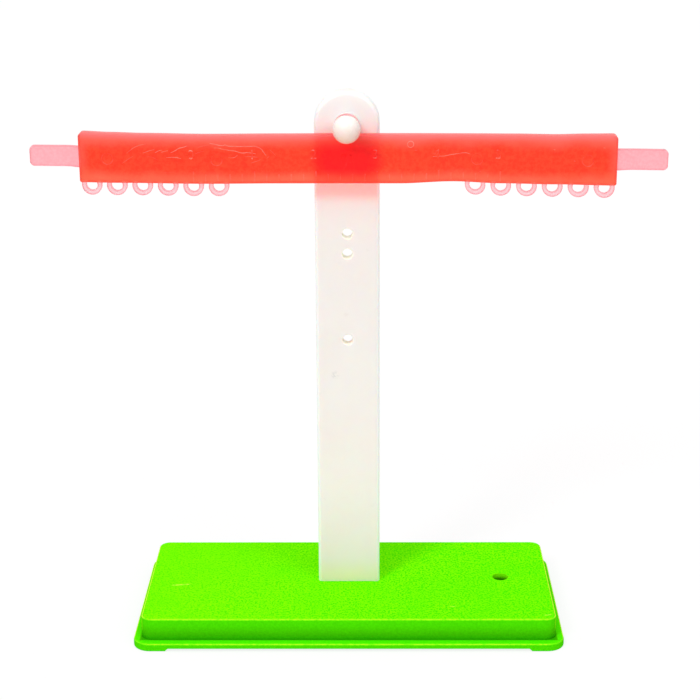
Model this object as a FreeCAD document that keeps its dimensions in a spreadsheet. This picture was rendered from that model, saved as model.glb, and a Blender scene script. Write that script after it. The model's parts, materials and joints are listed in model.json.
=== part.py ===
"""Lever balance demonstrator: a plinth, an upright, and a beam that swings on a ball-headed pin.

Millimetres. +X runs along the beam to the right, +Y away from the beam's front, +Z up.
The origin is the centre of the plinth's footprint, on the surface that its feet stand on.
"""
import FreeCAD, Part
import math
import os

import Sketcher

SIZES = [
    # alias, millimetres, what it is
    ("platform_length", 180.3, "raised platform, along X"),
    ("platform_width", 80.5, "raised platform, along Y"),
    ("platform_corner", 4.8, "plan radius of the platform's corners"),
    ("platform_rise", 9.8, "platform top above the flange top"),
    ("platform_edge", 1.05, "round on the platform's top edge"),
    ("flange_length", 187.2, "low flange round the platform, along X"),
    ("flange_width", 88.9, "low flange round the platform, along Y"),
    ("flange_corner", 7.6, "plan radius of the flange's corners"),
    ("flange_thickness", 2.2, "flange, from its underside to its top"),
    ("flange_edge", 0.9, "round on the flange's top edge"),
    ("foot_drop", 1.4, "corner feet, below the flange's underside"),
    ("foot_length", 15.4, "corner feet, along each side from the flange's corner"),
    ("foot_edge", 0.6, "round on the bottom edge of the feet"),
    ("plinth_wall", 2.3, "side walls of the hollow platform"),
    ("plinth_top", 2.6, "top plate of the hollow platform"),
    ("plinth_rib_spacing", 90.0, "between the two ribs under the top plate"),
    ("plinth_rib_thickness", 1.8, "ribs under the top plate"),
    ("plinth_rib_depth", 5.5, "ribs, below the top plate's underside"),
    ("peg_hole_radius", 3.55, "peg hole in the platform"),
    ("peg_hole_place", 68.6, "peg hole from the middle, along X"),
    ("peg_hole_edge", 0.15, "round on the peg hole's rim"),
    ("peg_sleeve_wall", 1.6, "sleeve round the peg hole, under the top plate"),
    ("peg_sleeve_depth", 2.4, "sleeve, below the top plate's underside"),
    ("centre_line", 1.9, "upright's and peg hole's line behind the plinth's middle, along Y"),
    ("column_width", 27.4, "upright, along X"),
    ("column_depth", 9.0, "upright, along Y"),
    ("column_wall", 2.3, "side walls of the hollow upright"),
    ("column_front", 2.5, "front wall of the hollow upright"),
    ("column_edge", 1.6, "round on the upright's front edges"),
    ("column_back_edge", 0.5, "round on the upright's back edges"),
    ("pivot_height", 208.5, "pivot axis above the platform top"),
    ("upper_hole_height", 161.8, "upper spare hole above the platform top"),
    ("middle_hole_height", 152.9, "middle spare hole above the platform top"),
    ("lower_hole_height", 114.6, "lower spare hole above the platform top"),
    ("hole_clearance", 0.1, "upright's holes and spacer's bore round the pin, on the radius"),
    ("column_hole_edge", 0.45, "round on the front rims of the upright's holes"),
    ("hole_boss_radius", 4.1, "boss round each hole, inside the upright"),
    ("hole_boss_depth", 3.1, "boss, behind the front wall"),
    ("foot_web", 2.5, "floor of the hollow upright"),
    ("web_spacing", 44.5, "between the cross webs inside the upright"),
    ("web_thickness", 1.5, "cross webs inside the upright"),
    ("web_count", 4, "cross webs inside the upright"),
    ("key_width", 8.5, "key under the upright's foot, along X"),
    ("key_depth", 4.2, "key under the upright's foot, along Y"),
    ("key_clearance", 0.1, "all round the key in the plinth's slot"),
    ("screw_spacing", 15.0, "between the two foot screws, along X"),
    ("screw_radius", 1.45, "thread of a foot screw"),
    ("screw_bite", 0.25, "depth that the thread cuts into the screw boss"),
    ("screw_reach", 9.0, "length of thread inside the upright"),
    ("screw_clearance", 0.2, "round the thread in the plinth's top plate"),
    ("screw_head_radius", 2.7, "foot screw's pan head"),
    ("screw_head_height", 1.8, "foot screw's pan head"),
    ("screw_head_slope", 0.7, "chamfer round the pan head"),
    ("screw_point", 1.6, "foot screw's conical point"),
    ("screw_boss_wall", 1.8, "screw boss's wall round the thread's root"),
    ("screw_boss_spare", 3.0, "screw boss, above the end of the thread"),
    ("recess_arm", 1.5, "cross recess in a screw head, from its middle"),
    ("recess_width", 0.6, "cross recess in a screw head"),
    ("recess_depth", 0.9, "cross recess in a screw head"),
    ("beam_length", 222.5, "beam's slab"),
    ("beam_height", 20.05, "beam's slab"),
    ("beam_thickness", 5.95, "beam's slab, along Y"),
    ("beam_below_pivot", 3.0, "slab's top edge below the pivot axis"),
    ("beam_top_corner", 1.7, "round on the slab's top corners, seen from the front"),
    ("beam_low_corner", 0.85, "round on the slab's bottom corners, seen from the front"),
    ("beam_edge", 0.5, "round on the slab's front and back edges"),
    ("lug_radius", 5.45, "thin lug round the beam's bore"),
    ("lug_thickness", 2.0, "thin lug, along Y"),
    ("beam_clearance", 0.06, "beam's bore round the pin, on the radius"),
    ("tongue_length", 21.2, "thin tongue, beyond each end of the slab"),
    ("tongue_height", 8.5, "thin tongue"),
    ("tongue_thickness", 2.0, "thin tongue, along Y"),
    ("tongue_corner", 1.85, "round on the tongue's corners, seen from the front"),
    ("ring_pitch", 10.65, "between the hanging rings"),
    ("ring_first", 5, "pitches from the pivot to the innermost ring"),
    ("ring_end", 4.4, "least distance from the last ring's centre to the end of the slab"),
    ("ring_radius", 4.25, "hanging ring, outside"),
    ("ring_hole_radius", 2.4, "hanging ring, inside"),
    ("ring_thickness", 2.0, "hanging ring, along Y"),
    ("ring_drop", 1.35, "ring centres below the slab's bottom edge"),
    ("scale_unit", 25.4, "the scale's unit, an inch, between two numbers"),
    ("scale_units", 5, "units on the scale, which is centred on the pivot"),
    ("scale_division", 5, "ticks to a unit"),
    ("tick_width", 0.5, "tick, along X"),
    ("tick_height", 3.0, "tick, along Z"),
    ("unit_tick_height", 4.2, "tick at a whole unit, along Z"),
    ("tick_relief", 0.15, "tick, proud of the slab's front"),
    ("tick_margin", 1.0, "ticks above the slab's bottom edge"),
    ("mark_radius", 2.3, "ejector marks on the slab's front"),
    ("mark_depth", 0.12, "ejector marks on the slab's front"),
    ("mark_place", 53.8, "inner ejector marks from the pivot, along X"),
    ("mark_inset", 12.1, "outer ejector marks from the slab's ends, along X"),
    ("ball_radius", 5.8, "pin's ball head"),
    ("ball_stand_off", 2.75, "ball's centre in front of the slab's front face"),
    ("pin_radius", 2.15, "pin's shank"),
    ("pin_tip", 0.4, "chamfer on the pin's tip"),
    ("head_gap", 0.15, "between the ball head and the slab's front face"),
    ("spacer_radius", 5.1, "spacer between beam and upright"),
    ("spacer_thickness", 2.45, "spacer, along Y"),
    ("beam_gap", 0.15, "between the beam and the spacer"),
    ("cap_radius", 3.9, "push-on cap behind the upright's pivot boss"),
    ("cap_length", 3.0, "push-on cap, along Y"),
    ("cap_end", 0.7, "closed end of the push-on cap"),
    ("cap_grip", 0.03, "how much tighter the cap's bore is than the pin, on the radius"),
    ("cap_edge", 0.5, "round on the push-on cap's end"),
]

document = FreeCAD.newDocument("LeverBalance")
sheet = document.addObject("Spreadsheet::Sheet", "sizes")
sheet.Label = "sizes"


class Size:
    """A size that knows its present value and the sheet formula that it comes from."""

    def __init__(self, value, formula):
        self.value = value
        self.formula = formula

    @staticmethod
    def of(other):
        return other if isinstance(other, Size) else Size(other, repr(other))

    def __add__(self, other):
        other = Size.of(other)
        return Size(self.value + other.value, "(%s + %s)" % (self.formula, other.formula))

    def __sub__(self, other):
        other = Size.of(other)
        return Size(self.value - other.value, "(%s - %s)" % (self.formula, other.formula))

    def __mul__(self, other):
        other = Size.of(other)
        return Size(self.value * other.value, "(%s * %s)" % (self.formula, other.formula))

    def __truediv__(self, other):
        other = Size.of(other)
        return Size(self.value / other.value, "(%s / %s)" % (self.formula, other.formula))

    def __neg__(self):
        return Size(-self.value, "(0 - %s)" % self.formula)

    def floor(self):
        return Size(math.floor(self.value), "floor(%s)" % self.formula)


class Sizes:
    """The sheet's sizes by alias, such as s.column_width."""


s = Sizes()
for row, (alias, number, meaning) in enumerate(SIZES, start=1):
    sheet.set("A%d" % row, meaning)
    sheet.set("B%d" % row, str(number))
    sheet.setAlias("B%d" % row, alias)
    setattr(s, alias, Size(number, "sizes." + alias))
document.recompute()


def number_of(size):
    return 0.0 if size is None else size.value


def bind(item, property_name, size):
    """Ties a property to the sheet. A size of None leaves it as it is."""
    if size is not None:
        item.setExpression(property_name, size.formula)


# ---------------------------------------------------------------- sketches

# The sketcher's own numbers: -1 and -2 for a sketch's axes, 1 to 3 for the points of a line or an arc.
H_AXIS, V_AXIS = range(-1, -3, -1)
START, END, CENTRE = range(1, 4)

# Lengths and volumes that differ by less than this are the same.
TOLERANCE = 1e-4

# The place of a piece's own front face along Y, and of the ground along Z.
FRONT = Size(0.0, "0")
GROUND = Size(0.0, "0")


def origin_feature(body, role):
    """One of the body's own origin planes or axes."""
    return [feature for feature in body.Origin.OriginFeatures if feature.Role == role][0]


def new_sketch(body, name, role, along_normal=None, up=None):
    """A sketch on an origin plane, moved along the plane's normal and up. XZ_Plane's normal is -Y."""
    sketch = body.newObject("Sketcher::SketchObject", name)
    sketch.AttachmentSupport = [(origin_feature(body, role), "")]
    sketch.MapMode = "FlatFace"
    shift = FreeCAD.Vector(0, number_of(up), number_of(along_normal))
    sketch.AttachmentOffset = FreeCAD.Placement(shift, FreeCAD.Rotation())
    bind(sketch, "AttachmentOffset.Base.y", up)
    bind(sketch, "AttachmentOffset.Base.z", along_normal)
    return sketch


def dimension(sketch, kind, *where, size):
    """A driving dimension bound to the sheet."""
    index = sketch.addConstraint(Sketcher.Constraint(kind, *where, size.value))
    bind(sketch, "Constraints[%d]" % index, size)


def pin_down(sketch, geometry, point, x, y):
    """Holds a point at (x, y) from the sketch's origin. None puts it on that axis."""
    for axis, kind, size in ((V_AXIS, "DistanceX", x), (H_AXIS, "DistanceY", y)):
        if size is None:
            sketch.addConstraint(Sketcher.Constraint("PointOnObject", geometry, point, axis))
        else:
            dimension(sketch, kind, H_AXIS, START, geometry, point, size=size)


def vector(x, y):
    return FreeCAD.Vector(number_of(x), number_of(y), 0)


def add_circle(sketch, x, y, radius):
    circle = sketch.addGeometry(Part.Circle(vector(x, y), FreeCAD.Vector(0, 0, 1), radius.value), False)
    pin_down(sketch, circle, CENTRE, x, y)
    dimension(sketch, "Radius", circle, size=radius)


def add_polygon(sketch, corners):
    """A closed outline of straight lines through corners, each an (x, y) pair of sizes."""
    lines = []
    for here, there in zip(corners, corners[1:] + corners[:1]):
        lines.append(sketch.addGeometry(Part.LineSegment(vector(*here), vector(*there)), False))
    for before, line, (x, y) in zip(lines[-1:] + lines[:-1], lines, corners):
        sketch.addConstraint(Sketcher.Constraint("Coincident", before, END, line, START))
        pin_down(sketch, line, START, x, y)


def add_rectangle(sketch, x_low, x_high, y_low, y_high):
    add_polygon(sketch, [(x_low, y_low), (x_high, y_low), (x_high, y_high), (x_low, y_high)])


def add_rounded_rectangle(sketch, half_x, half_y, radius):
    """A rectangle about the sketch's origin with its four corners rounded."""
    signs = [(1, -1), (1, 1), (-1, 1), (-1, -1)]
    arcs = []
    for turn, (x_sign, y_sign) in enumerate(signs):
        middle = vector((half_x - radius) * x_sign, (half_y - radius) * y_sign)
        start = (turn - 1) * math.pi / 2
        circle = Part.Circle(middle, FreeCAD.Vector(0, 0, 1), radius.value)
        arcs.append(sketch.addGeometry(Part.ArcOfCircle(circle, start, start + math.pi / 2), False))
        pin_down(sketch, arcs[-1], CENTRE, (half_x - radius) * x_sign, (half_y - radius) * y_sign)
    dimension(sketch, "Radius", arcs[0], size=radius)
    for arc in arcs[1:]:
        sketch.addConstraint(Sketcher.Constraint("Equal", arcs[0], arc))
    ends = [sketch.Geometry[arc] for arc in arcs]
    for number, arc in enumerate(arcs):
        following = (number + 1) % len(arcs)
        side = Part.LineSegment(ends[number].EndPoint, ends[following].StartPoint)
        line = sketch.addGeometry(side, False)
        sketch.addConstraint(Sketcher.Constraint("Tangent", arc, END, line, START))
        sketch.addConstraint(Sketcher.Constraint("Tangent", line, END, arcs[following], START))


def add_arch(sketch, half_width, foot, spring):
    """An outline with a flat foot, two upright sides and a half-round head that springs at a height."""
    low_right, high_right = vector(half_width, foot), vector(half_width, spring)
    low_left, high_left = vector(-half_width, foot), vector(-half_width, spring)
    circle = Part.Circle(vector(None, spring), FreeCAD.Vector(0, 0, 1), half_width.value)
    right = sketch.addGeometry(Part.LineSegment(low_right, high_right), False)
    head = sketch.addGeometry(Part.ArcOfCircle(circle, 0, math.pi), False)
    left = sketch.addGeometry(Part.LineSegment(high_left, low_left), False)
    base = sketch.addGeometry(Part.LineSegment(low_left, low_right), False)
    sketch.addConstraint(Sketcher.Constraint("Tangent", right, END, head, START))
    sketch.addConstraint(Sketcher.Constraint("Tangent", head, END, left, START))
    sketch.addConstraint(Sketcher.Constraint("Coincident", left, END, base, START))
    sketch.addConstraint(Sketcher.Constraint("Coincident", base, END, right, START))
    sketch.addConstraint(Sketcher.Constraint("Vertical", right))
    sketch.addConstraint(Sketcher.Constraint("Vertical", left))
    pin_down(sketch, head, CENTRE, None, spring)
    dimension(sketch, "Radius", head, size=half_width)
    if foot is None:
        sketch.addConstraint(Sketcher.Constraint("PointOnObject", right, START, H_AXIS))
    else:
        dimension(sketch, "DistanceY", H_AXIS, START, right, START, size=foot)
    sketch.addConstraint(Sketcher.Constraint("Horizontal", base))


# ---------------------------------------------------------------- features

def extrude(kind, body, sketch, name, length, backwards=False):
    """A Pad or a Pocket, checked to add or take away material."""
    document.recompute()
    before = body.Shape.Volume if body.Tip else 0.0
    feature = body.newObject("PartDesign::" + kind, name)
    feature.Profile = sketch
    feature.Length = length.value
    bind(feature, "Length", length)
    feature.Reversed = backwards
    document.recompute()
    grown = body.Shape.Volume - before
    if (kind == "Pad") != (grown > 0) or abs(grown) < TOLERANCE:
        raise RuntimeError("%s changes the volume by %g" % (name, grown))
    return feature


def pad(body, sketch, name, length, backwards=False):
    return extrude("Pad", body, sketch, name, length, backwards)


def pocket(body, sketch, name, length, backwards=False):
    return extrude("Pocket", body, sketch, name, length, backwards)


def fillet(body, name, feature, radius, test):
    """Rounds the edges of the feature that pass the test."""
    document.recompute()
    edges = ["Edge%d" % number for number, edge in enumerate(feature.Shape.Edges, start=1) if test(edge)]
    if not edges:
        raise RuntimeError(name + " finds no edge")
    rounded = body.newObject("PartDesign::Fillet", name)
    rounded.Base = (feature, edges)
    rounded.Radius = radius.value
    bind(rounded, "Radius", radius)
    document.recompute()
    return rounded


def repeat(body, name, feature, role, pitch, count, backwards=False):
    """A row of copies of one feature along an origin axis."""
    row = body.newObject("PartDesign::LinearPattern", name)
    row.Originals = [feature]
    row.Direction = (origin_feature(body, role), [""])
    row.Mode = "Spacing"
    row.Offset = pitch.value
    bind(row, "Offset", pitch)
    row.Occurrences = int(count.value)
    bind(row, "Occurrences", count)
    row.Reversed = backwards
    body.Tip = row
    document.recompute()
    return row


def near(first, second):
    return abs(first - second) < TOLERANCE


def lies_at(edge, axis, place):
    """True for an edge that lies flat in the plane at a place along an axis."""
    box = edge.BoundBox
    low, high = {"x": (box.XMin, box.XMax), "y": (box.YMin, box.YMax), "z": (box.ZMin, box.ZMax)}[axis]
    return near(low, place.value) and near(high, place.value)


def new_body(name, x=None, y=None, z=None):
    """An empty body, placed by sizes."""
    body = document.addObject("PartDesign::Body", name)
    body.Label = name
    body.Placement = FreeCAD.Placement(
        FreeCAD.Vector(number_of(x), number_of(y), number_of(z)), FreeCAD.Rotation())
    for axis, size in (("x", x), ("y", y), ("z", z)):
        bind(body, "Placement.Base." + axis, size)
    return body


# ---------------------------------------------------------------- heights and places shared by the pieces

flange_top = s.foot_drop + s.flange_thickness
platform_top = flange_top + s.platform_rise
plate_underside = platform_top - s.plinth_top
column_face = s.centre_line - s.column_depth / 2
pivot_z = platform_top + s.pivot_height
column_bore_radius = s.pin_radius + s.hole_clearance
column_bore_depth = s.column_front + s.hole_boss_depth
beam_face = column_face - s.spacer_thickness - s.beam_gap - s.beam_thickness


# ---------------------------------------------------------------- plinth

def make_base():
    body = new_body("base")

    sketch = new_sketch(body, "flange_outline", "XY_Plane")
    add_rounded_rectangle(sketch, s.flange_length / 2, s.flange_width / 2, s.flange_corner)
    flange = pad(body, sketch, "flange", flange_top)
    flange = fillet(body, "flange_round", flange, s.flange_edge, lambda edge: lies_at(edge, "z", flange_top))
    fillet(body, "foot_round", flange, s.foot_edge, lambda edge: lies_at(edge, "z", GROUND))

    # Between the feet the flange's underside is clear of the ground, with sloping ends to each foot.
    for name, role, half, start, backwards in (
            ("side_gap", "XZ_Plane", s.flange_length / 2, s.flange_width, False),
            ("end_gap", "YZ_Plane", s.flange_width / 2, -s.flange_length, True)):
        sketch = new_sketch(body, name + "_outline", role, start)
        inner = half - s.foot_length
        outer = inner + s.foot_drop
        add_polygon(sketch, [(-outer, None), (outer, None), (inner, s.foot_drop), (-inner, s.foot_drop)])
        pocket(body, sketch, name, s.flange_length * 2, backwards=backwards)

    sketch = new_sketch(body, "platform_outline", "XY_Plane", s.foot_drop)
    add_rounded_rectangle(sketch, s.platform_length / 2, s.platform_width / 2, s.platform_corner)
    platform = pad(body, sketch, "platform", s.flange_thickness + s.platform_rise)
    fillet(body, "platform_round", platform, s.platform_edge, lambda edge: lies_at(edge, "z", platform_top))

    sketch = new_sketch(body, "hollow_outline", "XY_Plane")
    add_rounded_rectangle(sketch, s.platform_length / 2 - s.plinth_wall,
                          s.platform_width / 2 - s.plinth_wall, s.platform_corner - s.plinth_wall)
    pocket(body, sketch, "hollow", plate_underside, backwards=True)

    # Each rib runs from wall to wall and is let into the walls and the top plate.
    sketch = new_sketch(body, "rib_outlines", "XY_Plane", plate_underside - s.plinth_rib_depth)
    half_width = s.platform_width / 2 - s.plinth_wall / 2
    for side in (-1, 1):
        middle = s.plinth_rib_spacing / 2 * side
        add_rectangle(sketch, middle - s.plinth_rib_thickness / 2, middle + s.plinth_rib_thickness / 2,
                      -half_width, half_width)
    pad(body, sketch, "ribs", s.plinth_rib_depth + s.plinth_top / 2)

    # The sleeve is let into the top plate like the ribs.
    sketch = new_sketch(body, "sleeve_outline", "XY_Plane", plate_underside - s.peg_sleeve_depth)
    add_circle(sketch, s.peg_hole_place, s.centre_line, s.peg_hole_radius + s.peg_sleeve_wall)
    pad(body, sketch, "sleeve", s.peg_sleeve_depth + s.plinth_top / 2)

    sketch = new_sketch(body, "plate_holes", "XY_Plane", platform_top)
    for side in (-1, 1):
        add_circle(sketch, s.screw_spacing / 2 * side, s.centre_line, s.screw_radius + s.screw_clearance)
    half_slot = s.key_width / 2 + s.key_clearance
    slot_reach = s.key_depth / 2 + s.key_clearance
    add_rectangle(sketch, -half_slot, half_slot, s.centre_line - slot_reach, s.centre_line + slot_reach)
    pocket(body, sketch, "holes", s.plinth_top)

    sketch = new_sketch(body, "peg_hole_outline", "XY_Plane", platform_top)
    add_circle(sketch, s.peg_hole_place, s.centre_line, s.peg_hole_radius)
    peg_hole = pocket(body, sketch, "peg_hole", s.plinth_top + s.peg_sleeve_depth)

    def on_peg_rim(edge):
        box = edge.BoundBox
        return (lies_at(edge, "z", platform_top) and near(box.XLength, 2 * s.peg_hole_radius.value)
                and near(box.Center.x, s.peg_hole_place.value))

    fillet(body, "peg_hole_round", peg_hole, s.peg_hole_edge, on_peg_rim)
    return body


# ---------------------------------------------------------------- upright

def make_column():
    """Local origin: middle of the foot's front edge."""
    body = new_body("column", y=column_face, z=platform_top)
    half_width = s.column_width / 2
    middle = s.column_depth / 2

    sketch = new_sketch(body, "outline", "XZ_Plane")
    add_arch(sketch, half_width, None, s.pivot_height)
    bar = pad(body, sketch, "bar", s.column_depth, backwards=True)

    def round_face(place):
        return lambda edge: lies_at(edge, "y", place) and edge.BoundBox.ZMax > s.foot_web.value

    bar = fillet(body, "front_round", bar, s.column_edge, round_face(FRONT))
    fillet(body, "back_round", bar, s.column_back_edge, round_face(s.column_depth))

    sketch = new_sketch(body, "hollow_outline", "XZ_Plane", -s.column_depth)
    add_arch(sketch, half_width - s.column_wall, s.foot_web, s.pivot_height)
    pocket(body, sketch, "hollow", s.column_depth - s.column_front, backwards=True)

    # The webs are let into the front wall and both side walls.
    sketch = new_sketch(body, "web_outline", "XY_Plane", s.web_spacing - s.web_thickness / 2)
    half_span = half_width - s.column_wall / 2
    add_rectangle(sketch, -half_span, half_span, s.column_front / 2, s.column_depth - s.column_back_edge * 2)
    web = pad(body, sketch, "web", s.web_thickness)
    repeat(body, "webs", web, "Z_Axis", s.web_spacing, s.web_count)

    heights = (s.pivot_height, s.upper_hole_height, s.middle_hole_height, s.lower_hole_height)
    sketch = new_sketch(body, "hole_boss_outlines", "XZ_Plane", -s.column_front / 2)
    for height in (s.pivot_height, s.upper_hole_height, s.lower_hole_height):
        add_circle(sketch, None, height, s.hole_boss_radius)
    pad(body, sketch, "hole_bosses", s.column_front / 2 + s.hole_boss_depth, backwards=True)
    # The middle boss is so close under the upper one that it has a sketch of its own.
    sketch = new_sketch(body, "middle_boss_outline", "XZ_Plane", -s.column_front / 2)
    add_circle(sketch, None, s.middle_hole_height, s.hole_boss_radius)
    pad(body, sketch, "middle_boss", s.column_front / 2 + s.hole_boss_depth, backwards=True)

    sketch = new_sketch(body, "hole_outlines", "XZ_Plane")
    for height in heights:
        add_circle(sketch, None, height, column_bore_radius)
    holes = pocket(body, sketch, "holes", column_bore_depth)

    def on_hole_rim(edge):
        return lies_at(edge, "y", FRONT) and near(edge.BoundBox.XLength, 2 * column_bore_radius.value)

    fillet(body, "hole_rounds", holes, s.column_hole_edge, on_hole_rim)

    root_radius = s.screw_radius - s.screw_bite
    sketch = new_sketch(body, "screw_boss_outlines", "XY_Plane")
    for side in (-1, 1):
        add_circle(sketch, s.screw_spacing / 2 * side, middle, root_radius + s.screw_boss_wall)
    pad(body, sketch, "screw_bosses", s.screw_reach + s.screw_boss_spare)

    sketch = new_sketch(body, "pilot_outlines", "XY_Plane")
    for side in (-1, 1):
        add_circle(sketch, s.screw_spacing / 2 * side, middle, root_radius)
    pocket(body, sketch, "pilots", s.screw_reach + s.screw_boss_spare / 2, backwards=True)

    sketch = new_sketch(body, "key_outline", "XY_Plane")
    half_key = s.key_width / 2
    add_rectangle(sketch, -half_key, half_key, middle - s.key_depth / 2, middle + s.key_depth / 2)
    pad(body, sketch, "key", s.plinth_top, backwards=True)
    return body


# ---------------------------------------------------------------- beam

def make_beam():
    """Local origin: pivot axis, at the slab's front face. The slab hangs below it."""
    body = new_body("beam", y=beam_face, z=pivot_z)
    half = s.beam_length / 2
    top = -s.beam_below_pivot
    low = top - s.beam_height
    middle_y = s.beam_thickness / 2
    middle_z = top - s.beam_height / 2
    ring_count = ((half - s.ring_end) / s.ring_pitch).floor() - s.ring_first + 1

    sketch = new_sketch(body, "slab_outline", "XZ_Plane")
    add_rectangle(sketch, -half, half, low, top)
    slab = pad(body, sketch, "slab", s.beam_thickness, backwards=True)

    def corner_at(height):
        across = s.beam_thickness.value
        return lambda edge: lies_at(edge, "z", height) and near(edge.BoundBox.YLength, across)

    slab = fillet(body, "top_corners", slab, s.beam_top_corner, corner_at(top))
    slab = fillet(body, "low_corners", slab, s.beam_low_corner, corner_at(low))
    slab = fillet(body, "slab_rounds", slab, s.beam_edge,
                  lambda edge: lies_at(edge, "y", FRONT) or lies_at(edge, "y", s.beam_thickness))

    # One thin bar runs the whole length of the slab and stands out of both ends as the tongues.
    sketch = new_sketch(body, "tongue_outline", "XZ_Plane", s.tongue_thickness / 2 - middle_y, middle_z)
    add_rounded_rectangle(sketch, half + s.tongue_length, s.tongue_height / 2, s.tongue_corner)
    pad(body, sketch, "tongues", s.tongue_thickness, backwards=True)

    for name, side in (("left", -1), ("right", 1)):
        sketch = new_sketch(body, name + "_ring_outline", "XZ_Plane", s.ring_thickness / 2 - middle_y)
        for radius in (s.ring_radius, s.ring_hole_radius):
            add_circle(sketch, s.ring_pitch * s.ring_first * side, low - s.ring_drop, radius)
        ring = pad(body, sketch, name + "_ring", s.ring_thickness, backwards=True)
        repeat(body, name + "_rings", ring, "X_Axis", s.ring_pitch, ring_count, backwards=(side < 0))

    sketch = new_sketch(body, "lug_outline", "XZ_Plane", s.lug_thickness / 2 - middle_y)
    add_circle(sketch, None, None, s.lug_radius)
    pad(body, sketch, "lug", s.lug_thickness, backwards=True)

    zero = -s.scale_unit * s.scale_units / 2
    for name, height, pitch, count in (
            ("tick", s.tick_height, s.scale_unit / s.scale_division, s.scale_units * s.scale_division + 1),
            ("unit_tick", s.unit_tick_height, s.scale_unit, s.scale_units + 1)):
        sketch = new_sketch(body, name + "_outline", "XZ_Plane", -s.tick_relief)
        add_rectangle(sketch, zero - s.tick_width / 2, zero + s.tick_width / 2,
                      low + s.tick_margin, low + s.tick_margin + height)
        tick = pad(body, sketch, name, s.tick_relief * 2)
        repeat(body, name + "s", tick, "X_Axis", pitch, count)

    sketch = new_sketch(body, "mark_outlines", "XZ_Plane")
    add_circle(sketch, None, middle_z, s.mark_radius)
    for place in (s.mark_place, half - s.mark_inset):
        add_circle(sketch, place, middle_z, s.mark_radius)
        add_circle(sketch, -place, middle_z, s.mark_radius)
    pocket(body, sketch, "marks", s.mark_depth)

    sketch = new_sketch(body, "bore_outline", "XZ_Plane")
    add_circle(sketch, None, None, s.pin_radius + s.beam_clearance)
    pocket(body, sketch, "bore", s.beam_thickness)
    return body


# ---------------------------------------------------------------- pivot

def make_pin():
    """Local origin: pivot axis, at the slab's front face. The ball is in front of it, the shank behind."""
    body = new_body("pivot_pin", y=beam_face, z=pivot_z)
    sketch = new_sketch(body, "half_profile", "XY_Plane")
    tip = (s.beam_thickness + s.beam_gap + s.spacer_thickness + column_bore_depth + s.cap_length - s.cap_end)
    seat = -s.head_gap
    ball = -s.ball_stand_off

    rise = seat.value - ball.value
    seat_radius = math.sqrt(s.ball_radius.value ** 2 - rise ** 2)
    circle = Part.Circle(vector(None, ball), FreeCAD.Vector(0, 0, 1), s.ball_radius.value)
    arc = sketch.addGeometry(
        Part.ArcOfCircle(circle, -math.pi / 2, math.atan2(rise, seat_radius)), False)
    pin_down(sketch, arc, CENTRE, None, ball)
    dimension(sketch, "Radius", arc, size=s.ball_radius)
    sketch.addConstraint(Sketcher.Constraint("PointOnObject", arc, START, V_AXIS))

    shank = [(s.pin_radius, seat), (s.pin_radius, tip - s.pin_tip),
             (s.pin_radius - s.pin_tip, tip), (None, tip)]
    start = FreeCAD.Vector(seat_radius, seat.value, 0)
    lines = []
    for x, y in shank:
        end = vector(x, y)
        lines.append(sketch.addGeometry(Part.LineSegment(start, end), False))
        start = end
    sketch.addConstraint(Sketcher.Constraint("Coincident", arc, END, lines[0], START))
    sketch.addConstraint(Sketcher.Constraint("Horizontal", lines[0]))
    for before, line in zip(lines, lines[1:]):
        sketch.addConstraint(Sketcher.Constraint("Coincident", before, END, line, START))
    for line, (x, y) in zip(lines, shank):
        pin_down(sketch, line, END, x, y)
    pole = vector(None, ball - s.ball_radius)
    axis_line = sketch.addGeometry(Part.LineSegment(start, pole), False)
    sketch.addConstraint(Sketcher.Constraint("Coincident", lines[-1], END, axis_line, START))
    sketch.addConstraint(Sketcher.Constraint("Coincident", axis_line, END, arc, START))

    turned = body.newObject("PartDesign::Revolution", "turned")
    turned.Profile = sketch
    turned.ReferenceAxis = (sketch, ["V_Axis"])
    turned.Angle = 360
    document.recompute()
    return body


def make_spacer():
    """Local origin: pivot axis, at the face towards the beam."""
    body = new_body("spacer_washer", y=column_face - s.spacer_thickness, z=pivot_z)
    sketch = new_sketch(body, "outline", "XZ_Plane")
    for radius in (s.spacer_radius, column_bore_radius):
        add_circle(sketch, None, None, radius)
    pad(body, sketch, "washer", s.spacer_thickness, backwards=True)
    return body


def make_cap():
    """Local origin: pivot axis, at the face that meets the upright's pivot boss."""
    body = new_body("pin_cap", y=column_face + column_bore_depth, z=pivot_z)
    sketch = new_sketch(body, "outline", "XZ_Plane")
    add_circle(sketch, None, None, s.cap_radius)
    cap = pad(body, sketch, "cap", s.cap_length, backwards=True)
    fillet(body, "cap_round", cap, s.cap_edge, lambda edge: lies_at(edge, "y", s.cap_length))
    sketch = new_sketch(body, "bore_outline", "XZ_Plane")
    add_circle(sketch, None, None, s.pin_radius - s.cap_grip)
    pocket(body, sketch, "bore", s.cap_length - s.cap_end)
    return body


# ---------------------------------------------------------------- foot screws

def make_screw(name):
    """Local origin: middle of the head's seat, under the top plate. The thread points up."""
    body = new_body(name, x=s.screw_spacing / 2, y=s.centre_line, z=plate_underside)
    sketch = new_sketch(body, "half_profile", "XZ_Plane")
    thread = s.plinth_top + s.screw_reach
    head = s.screw_head_radius
    drop = s.screw_head_height
    add_polygon(sketch, [(None, -drop), (head - s.screw_head_slope, -drop),
                         (head, s.screw_head_slope - drop), (head, None), (s.screw_radius, None),
                         (s.screw_radius, thread - s.screw_point), (None, thread)])
    turned = body.newObject("PartDesign::Revolution", "turned")
    turned.Profile = sketch
    turned.ReferenceAxis = (sketch, ["V_Axis"])
    turned.Angle = 360
    document.recompute()

    half = s.recess_width / 2
    arm = s.recess_arm
    quarter = [(half, -arm), (half, -half), (arm, -half)]
    cross = quarter + [(x, -y) for x, y in reversed(quarter)]
    cross += [(-x, -y) for x, y in cross]
    sketch = new_sketch(body, "recess_outline", "XY_Plane", -drop)
    add_polygon(sketch, cross)
    pocket(body, sketch, "recess", s.recess_depth, backwards=True)
    return body


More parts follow.
